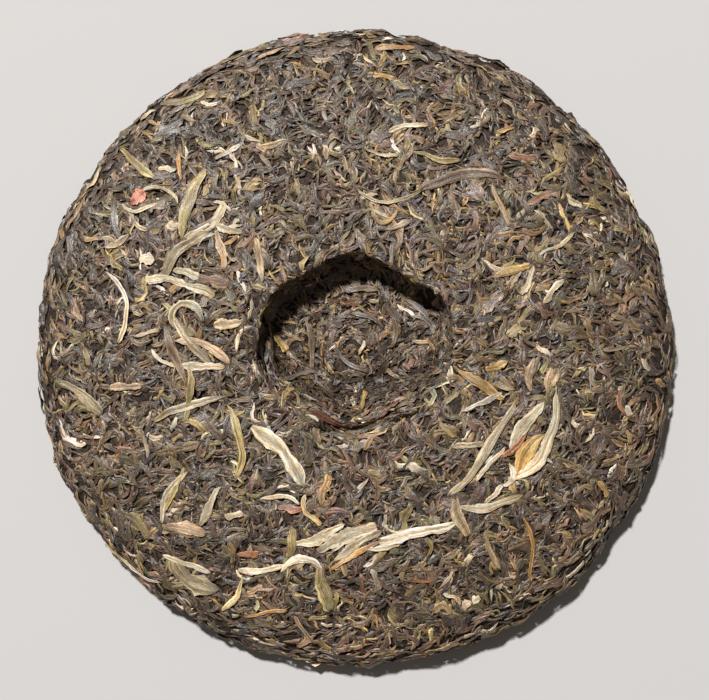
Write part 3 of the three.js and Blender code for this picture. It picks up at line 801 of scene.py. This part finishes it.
def follow(tree, place, heading, length, bend, kink, stations, draw):
    """Points and normals of a leaf's middle line, laid along the surface from its middle both ways."""
    step = length / (stations - 1)
    middle = tree.find_nearest(place)[:2]
    halves = []
    for side, count in ((-1, (stations - 1) // 2), (1, stations // 2)):
        point, normal = middle
        way = heading * side
        spots = []
        for _ in range(count):
            turn = side * bend / (stations - 1) + draw.gauss(0, kink)
            way = way * math.cos(turn) + normal.cross(way) * math.sin(turn)
            point, normal, _, _ = tree.find_nearest(point + way * step)
            way = (way - normal * way.dot(normal)).normalized()
            spots.append((point, normal))
        halves.append(spots)
    return halves[0][::-1] + [middle] + halves[1]


def leaf_rings(spots, sizes, section, rng):
    """Rings of points (leaf, station, corner, xyz) round the middle lines of many leaves."""
    points = np.array([[tuple(p) for p, _ in line] for line in spots])
    normals = np.array([[tuple(n) for _, n in line] for line in spots])
    normals[:, 1:-1] = (normals[:, :-2] + normals[:, 1:-1] + normals[:, 2:]) / 3
    normals = unit(normals)
    count, stations = points.shape[:2]
    along = unit(np.gradient(points, axis=1))
    across = unit(np.cross(along, normals))
    s = np.linspace(-1, 1, stations)[None, :]

    def column(low, high):
        return rng.uniform(low, high, (count, 1))

    def waves(low, high):
        return np.sin(s * column(low, high) + column(0, FULL_TURN))

    def uneven(share):
        return rng.normal(0, share * sizes["ragged"], (count, stations))

    ends = np.abs(s + column(-END_SHIFT, END_SHIFT)).clip(0, 1)
    taper = (1 - ends ** column(*TAPER_POWERS)) ** TAPER_ROUNDING * (1 - sizes["tip"]) + sizes["tip"]
    pinch = 1 + PINCH * waves(*PINCH_WAVES) + uneven(RAGGED_PINCH)
    width = sizes["width"][:, None] * taper * pinch
    thick = sizes["thick"][:, None] * taper**THICK_TAPER
    level = sizes["level"][:, None] + sizes["wave"] * waves(*LEVEL_WAVES)
    level = level - sizes["dip"] * ends**3
    roll = sizes["roll"][:, None] + sizes["twist"][:, None] * s
    drift = sizes["drift"] * (waves(*DRIFT_WAVES) + uneven(RAGGED_DRIFT))
    shape = np.array(section)
    corners = (count, stations, len(section))
    ridges = 1 + rng.uniform(-RIDGE_SPREAD, RIDGE_SPREAD, (count, 1, len(section)))
    ridges = ridges + rng.normal(0, RIDGE_NOISE, corners)
    edges = 1 + rng.normal(0, sizes["ragged"], corners)
    side = shape[:, 0] * edges * width[..., None] / 2
    up = shape[:, 1] * ridges * thick[..., None]
    turn = roll[..., None]
    sideways = drift[..., None] + side * np.cos(turn) - up * np.sin(turn)
    height = level[..., None] + side * np.sin(turn) + up * np.cos(turn)
    proud = height - sizes["press"]
    height = np.where(proud > 0, sizes["press"] + proud * PRESSED_SHARE, height)
    rings = points[:, :, None] + across[:, :, None] * sideways[..., None]
    rings = rings + normals[:, :, None] * height[..., None]
    height = rings[..., 2]
    squeezed = PRESSED_UNDER * np.exp(np.minimum(height / PRESSED_UNDER - 1, 0))
    rings[..., 2] = np.where(height < PRESSED_UNDER, squeezed, height)
    return rings


def section_tints(colours, stations, section, streaks, rng):
    """Tint of each point: paler edges and ridges, partly a painted highlight, darker grooves as painted
    shade, streaks, and a change along the leaf.
    """
    count = len(colours)
    shape = np.array(section)
    out = np.abs(shape[:, 0])
    pale = 1 + EDGE_PALE_AND_HIGHLIGHT * (out > AT_EDGE) - GROOVE_PAINTED_SHADE * (out < AT_MIDDLE) * (shape[:, 1] < GROOVE_UNDER)
    s = np.linspace(-1, 1, stations)
    waves = rng.uniform(*CHANGE_WAVES, (count, 1))
    change = 1 + CHANGE * np.sin(waves * s + rng.uniform(0, FULL_TURN, (count, 1)))
    warm = 1 + np.array(WARM_DRIFT) * rng.normal(0, WARM_SPREAD, (count, 1, 1)) * s[None, :, None]
    mottle = rng.lognormal(0, MOTTLE, (count, stations, len(section), 1))
    mottle = mottle * rng.lognormal(0, streaks, (count, 1, len(section), 1))
    tints = colours[:, None, None] * change[..., None, None] * pale[None, None, :, None]
    return np.clip(tints * warm[:, :, None] * mottle, *TINT_RANGE)


def cell_map(count, stations, corners):
    """UV corners that give each leaf a cell of its own, unrolled, with its two ends beside it."""
    rows = max(1, round(math.sqrt(count / CELL_SHAPE)))
    columns = math.ceil(count / rows)
    cell = np.array([1 / columns, 1 / rows])
    origin = np.stack([np.arange(count) % columns, np.arange(count) // columns], axis=1) * cell
    k, s = np.meshgrid(np.arange(corners), np.arange(stations - 1))
    corner_steps = ((0, 0), (1, 0), (1, 1), (0, 1))
    across = [(k + dk) / corners * CELL_ACROSS[1] + CELL_ACROSS[0] for dk, _ in corner_steps]
    along = [(s + ds) / (stations - 1) * CELL_ALONG[1] + CELL_ALONG[0] for _, ds in corner_steps]
    quad = np.stack([np.stack(pair, axis=-1) for pair in zip(across, along)], axis=2)
    turn = np.arange(corners) / corners * 2 * np.pi
    round_end = np.stack([np.cos(turn), np.sin(turn)], axis=1) * END_SIZE
    first, last = round_end + END_PLACES[0], round_end[::-1] + END_PLACES[1]
    sides = origin[:, None, None, None] + quad[None] * cell
    ends = [origin[:, None] + end[None] * cell for end in (first, last)]
    return np.concatenate([sides.reshape(-1, 2)] + [end.reshape(-1, 2) for end in ends])


def length_map(sizes, stations, corners, rng):
    """UV corners in mm across and along each leaf, moved to another part of the pattern for each."""
    count = len(sizes["width"])
    shift = rng.uniform(0, PATTERN_REACH, (count, 1, 1, 1, 2))
    k, s = np.meshgrid(np.arange(corners), np.arange(stations - 1))
    corner_width = (GIRTH * sizes["width"] / corners)[:, None, None, None]
    station_length = (sizes["length"] / (stations - 1))[:, None, None, None]
    across = np.stack([k, k + 1, k + 1, k], axis=-1)[None] * corner_width
    along = np.stack([s, s, s + 1, s + 1], axis=-1)[None] * station_length
    sides = np.stack([across, along], axis=-1) + shift
    ends = np.repeat(shift.reshape(count, 1, 2), corners, axis=1).reshape(-1, 2)
    return np.concatenate([sides.reshape(-1, 2), ends, ends])


def tube_polygons(count, stations, corners):
    index = np.arange(count * stations * corners).reshape(count, stations, corners)
    turned = np.roll(index, -1, axis=2)
    sides = np.stack([index[:, :-1], turned[:, :-1], turned[:, 1:], index[:, 1:]], axis=-1)
    return [sides.reshape(-1, 4), index[:, 0, ::-1], index[:, -1]]


def mark_sharp(mesh, corners, sharp):
    """Marks the lines along the leaves at the given corners of their section as sharp."""
    ends = np.empty(len(mesh.edges) * 2, np.int32)
    mesh.edges.foreach_get("vertices", ends)
    ends = ends.reshape(-1, 2) % corners
    lines = (ends[:, 0] == ends[:, 1]) & np.isin(ends[:, 0], sharp)
    layer = mesh.attributes.new("sharp_edge", "BOOLEAN", "EDGE")
    layer.data.foreach_set("value", lines)


def make_leaves(name, kind, spots, sizes, colours, section, sharp, rng):
    count, stations, corners = len(spots), len(spots[0]), len(section)
    rings = leaf_rings(spots, sizes, section, rng)
    tints = section_tints(colours, stations, section, sizes["streaks"], rng)
    mesh = mesh_from_arrays(name, rings.reshape(-1, 3), tube_polygons(count, stations, corners))
    add_tints(mesh, tints.reshape(-1, 3))
    add_uv(mesh, "LeafUV", length_map(sizes, stations, corners, rng))
    add_uv(mesh, "OFBake", cell_map(count, stations, corners))
    mark_sharp(mesh, corners, sharp)
    new_object(name, mesh, MATERIALS[kind], KINDS[kind]["slot"])


def draw_sizes(count, ranges, smaller, rng):
    """Sizes in mm and turns of many leaves, most of them near the small end of each range."""

    def skewed(low, high):
        return low + (high - low) * rng.beta(*SIZE_SKEW, count)

    width = skewed(*ranges["width"]) * smaller**NARROWING
    matted = 2 * smaller - 1
    return {
        "length": skewed(*ranges["length"]) * smaller,
        "width": width,
        "thick": (THINNEST + THICKNESS * width * rng.uniform(*THICKNESS_SPREAD, count)) * matted,
        "level": rng.uniform(*ranges["level"], count),
        "roll": rng.normal(0, LEAF_ROLL, count),
        "twist": rng.normal(0, LEAF_TWIST, count),
        "ragged": ranges["ragged"],
        "streaks": ranges["streaks"],
        **LEAF_HABIT,
    }


# Painted light and shade in the leaves' colour: a painted highlight on the dimple's knob, painted shade in
# the hollow south of it, and painted light on the shaded south rim; each as middle, half sizes, and
# logarithm of how much lighter
PAINTED_LIGHT_SPOTS = [
    (1.5, -0.5, 5.5, 5.5, 0.75),
    (3, -12, 20, 4.5, -0.8),
    (3, -94, 34, 8, 0.55),
]


# Painted highlight and shade at a place, as a logarithm of how much lighter
def painted_light_gain(place):
    total = 0
    for x, y, across, up, gain in PAINTED_LIGHT_SPOTS:
        total += gain * math.exp(-(((place.x - x) / across) ** 2) - ((place.y - y) / up) ** 2)
    return total


def patch_tone_and_painted_light(place, draw):
    """Logarithm of how much lighter the leaves at a place are: random patches of tone, then painted
    highlight and shade at chosen places.
    """
    (coarse, coarse_size), (fine, fine_size) = PATCHES
    patch = coarse * noise.noise(place / coarse_size) + fine * noise.noise(place / fine_size)
    return patch + draw.gauss(0, PATCH_SPREAD) + painted_light_gain(place)


def zone_weights(grid, p):
    """How thickly leaves lie on the back, the rim and the front, in each cell of the surface."""
    radius = np.hypot(grid[..., 0], grid[..., 1])
    on_rim = (radius > RIM_FROM_RADIUS) & (p[:, None] > RIM_FROM_P)
    denser = 1 + DENSER * (1 - smooth(*DENSER_FADE, radius))
    return {
        "back": ((p[:, None] < 1) & ~on_rim) * denser,
        "rim": on_rim,
        "front": (p[:, None] >= 1) & ~on_rim,
    }


def lay_bundle(tree, place, normal, heading, lengths, bend, stations, draw):
    """Middle lines of the leaves of a bundle, which lie side by side and nearly parallel."""
    beside = normal.cross(heading)
    count = len(lengths)
    lines = []
    for step, length in enumerate(lengths):
        shift = beside * (step - (count - 1) / 2) * BUNDLE_STEP
        shift = shift + heading * draw.gauss(0, BUNDLE_SLIDE) * (count > 1)
        turned = (heading + beside * draw.gauss(0, BUNDLE_TURN)).normalized()
        lines.append(follow(tree, place + shift, turned, length, bend, KINK, stations, draw))
    return lines


def scatter(surface, ranges, prefix, share_index, seed):
    """Leaves of one size class over the whole cake, as one piece for each kind."""
    grid, normals, p, tree = surface
    rng = np.random.default_rng(seed)
    draw = random.Random(seed)
    weights = zone_weights(grid, p)
    bundle = ranges["bundle"]
    sites = [
        draw_sites(grid, normals, weights[zone], count // bundle, rng)
        for zone, count in ranges["count"].items()
    ]
    places = np.concatenate([where for where, _ in sites])
    facings = np.concatenate([facing for _, facing in sites])
    gaps, ways = nearest_crease(places[:, :2])
    shares = np.array([facts["shares"][share_index] for facts in KINDS.values()])
    shares /= shares.sum()
    kinds = np.repeat(rng.choice(len(shares), len(places), p=shares), bundle)
    mixed = rng.choice(len(shares), len(kinds), p=shares)
    kinds = np.where(rng.random(len(kinds)) < MIXED_SHARE * (bundle > 1), mixed, kinds)
    smaller = np.repeat([1 - SMALLER * in_dimple(Vector(place)) for place in places], bundle)
    sizes = draw_sizes(len(kinds), ranges, smaller, rng)
    shade_picks = np.repeat(rng.integers(0, SHADE_PICKS, len(places)), bundle)
    patches = []
    spots = []
    for i, (place, facing) in enumerate(zip(places, facings)):
        middle, normal = Vector(place), Vector(facing)
        heading = grain_heading(middle, normal, gaps[i], ways[i], draw)
        bend = draw.gauss(0, BEND_SPREAD)
        patches.append(patch_tone_and_painted_light(middle, draw))
        lengths = sizes["length"][i * bundle : (i + 1) * bundle]
        spots += lay_bundle(tree, middle, normal, heading, lengths, bend, ranges["stations"], draw)
    patches = np.repeat(patches, bundle)
    covers = covers_crease(spots)
    for number, (kind, facts) in enumerate(KINDS.items()):
        chosen = np.flatnonzero((kinds == number) & ~covers)
        own = {
            key: value[chosen] if isinstance(value, np.ndarray) else value
            for key, value in sizes.items()
        }
        colours = linear(facts["shades"])[shade_picks[chosen] % len(facts["shades"])]
        # Colours take the random patches of tone and the painted highlight and shade at chosen places
        colours = colours * np.exp(patches[chosen] + rng.normal(0, SHADE_SPREAD, len(chosen)))[:, None]
        colours = colours * rng.lognormal(0, HUE_SPREAD, (len(chosen), 3))
        lines = [spots[i] for i in chosen]
        make_leaves(f"{kind}_{prefix}", kind, lines, own, colours, ranges["section"], ranges["sharp"], rng)


def covers_crease(spots):
    """True for each leaf that would lie across a crease of the back."""
    points = np.array([[tuple(p) for p, _ in line] for line in spots])
    upward = np.array([line[len(line) // 2][1].z > 0 for line in spots])
    gaps, ways = nearest_crease(points[..., :2].reshape(-1, 2))
    gaps = gaps.reshape(len(spots), -1)
    nearest = gaps.argmin(axis=1)
    rows = np.arange(len(spots))
    crease_way = ways.reshape(len(spots), -1, 2)[rows, nearest]
    leaf_way = unit(points[:, -1, :2] - points[:, 0, :2])
    across = np.abs((leaf_way * crease_way).sum(axis=1)) < ALONG_CREASE
    return (gaps[rows, nearest] < CREASE_CLEARANCE) & upward & across


def make_blades(tree):
    """The leaves that stand out on the back, each at its own place."""
    rng = np.random.default_rng(BLADE_SEED)
    draw = random.Random(BLADE_SEED)
    for kind in KINDS:
        rows = [row for row in BLADES if BLADE_SHADES[row[0]][0] == kind]
        if not rows:
            continue
        spots = []
        for _, x, y, turn, length, _, bend in rows:
            above = Vector((x, y, BACK_HEIGHT + ABOVE_BACK))
            place, normal, _, _ = tree.ray_cast(above, Vector((0, 0, -1)))
            heading = Vector((math.cos(math.radians(turn)), math.sin(math.radians(turn)), 0))
            heading = (heading - normal * heading.dot(normal)).normalized()
            spots.append(
                follow(tree, place, heading, length, math.radians(bend), BLADE_KINK, BLADE_STATIONS, draw)
            )
        width = np.array([row[5] for row in rows])
        count = len(rows)
        sizes = {
            "length": np.array([row[4] for row in rows], float),
            "width": width,
            "thick": BLADE_THINNEST + BLADE_THICKNESS * width,
            "level": np.full(count, BLADE_LEVEL),
            "roll": rng.normal(0, BLADE_ROLL, count),
            "twist": rng.normal(0, BLADE_TWIST, count),
            **BLADE_HABIT,
        }
        colours = linear([BLADE_SHADES[row[0]][1] for row in rows])
        colours = colours * rng.lognormal(0, BLADE_SPREAD, (count, 1))
        make_leaves(f"{kind}_blades", kind, spots, sizes, colours, BLADE_SECTION, FLAKES["sharp"], rng)


# Floor, lights and camera

CAMERA_HEIGHT = 550
CAMERA_ELEVATION = 87.6
FRAME_PIXELS = (709, 700)
PIXELS_PER_MM = 3.18
CAKE_PIXEL = (355.2, 346.2)
KEY_AZIMUTH, KEY_ELEVATION, KEY_DISTANCE, KEY_SIZE = 118, 60, 5, 0.42
KEY_POWER, KEY_COLOUR = 341, (1.0, 0.985, 0.96)
FILL_STRENGTH, FILL_COLOUR = 0.12, (1.0, 0.9, 0.78, 1)
FLOOR_SIZE = 3.0
SENSOR_WIDTH = 36
NEAR, FAR = 0.02, 20


def make_floor():
    half = FLOOR_SIZE / 2 / MM
    points = half * np.array([(-1, -1, 0), (1, -1, 0), (1, 1, 0), (-1, 1, 0)])
    mesh = mesh_from_arrays("floor", points, [np.array([[0, 1, 2, 3]])])
    new_object("floor", mesh, floor_material())


def aim(thing, place, target):
    thing.location = place
    thing.rotation_euler = (target - place).to_track_quat("-Z", "Y").to_euler()


def make_lights():
    azimuth, elevation = math.radians(KEY_AZIMUTH), math.radians(KEY_ELEVATION)
    level = math.cos(elevation)
    way = Vector((math.cos(azimuth) * level, math.sin(azimuth) * level, math.sin(elevation)))
    lamp = bpy.data.lights.new("key", "AREA")
    lamp.shape = "DISK"
    lamp.size = KEY_SIZE
    lamp.energy = KEY_POWER
    lamp.color = KEY_COLOUR
    key = bpy.data.objects.new("key", lamp)
    scene.collection.objects.link(key)
    aim(key, way * KEY_DISTANCE, Vector())
    world = bpy.data.worlds.new("studio")
    scene.world = world
    world.use_nodes = True
    background = world.node_tree.nodes["Background"]
    background.inputs["Color"].default_value = FILL_COLOUR
    background.inputs["Strength"].default_value = FILL_STRENGTH
    scene.view_settings.view_transform = "Standard"


def make_camera():
    """A camera almost straight above, so far off that the rim has the photo's size and place."""
    data = bpy.data.cameras.new("camera")
    camera = bpy.data.objects.new("camera", data)
    scene.collection.objects.link(camera)
    frame_width = FRAME_PIXELS[0] / PIXELS_PER_MM
    data.sensor_width = SENSOR_WIDTH
    data.lens = data.sensor_width * CAMERA_HEIGHT / frame_width
    data.clip_start, data.clip_end = NEAR, FAR
    elevation = math.radians(CAMERA_ELEVATION)
    target = Vector((0, 0, RIM_HEIGHT * MM))
    place = target + Vector((0, -math.cos(elevation), math.sin(elevation))) * CAMERA_HEIGHT * MM
    aim(camera, place, target)
    data.shift_x = (FRAME_PIXELS[0] / 2 - CAKE_PIXEL[0]) / FRAME_PIXELS[0]
    data.shift_y = (CAKE_PIXEL[1] - FRAME_PIXELS[1] / 2) / FRAME_PIXELS[0]
    scene.camera = camera


MATERIALS = {kind: leaf_material(f"{kind}_leaf", *facts["look"]) for kind, facts in KINDS.items()}

outer, outer_normals, row_p = outer_surface()
finder = surface_tree(outer)
cake_surface = (outer, outer_normals, row_p, finder)
make_core(outer, outer_normals)
scatter(cake_surface, STRANDS, "strands", 0, SEED)
scatter(cake_surface, LEAVES, "leaves", 1, SEED + 1)
scatter(cake_surface, FLAKES, "flakes", 2, SEED + 2)
make_blades(finder)
make_floor()
make_lights()
make_camera()
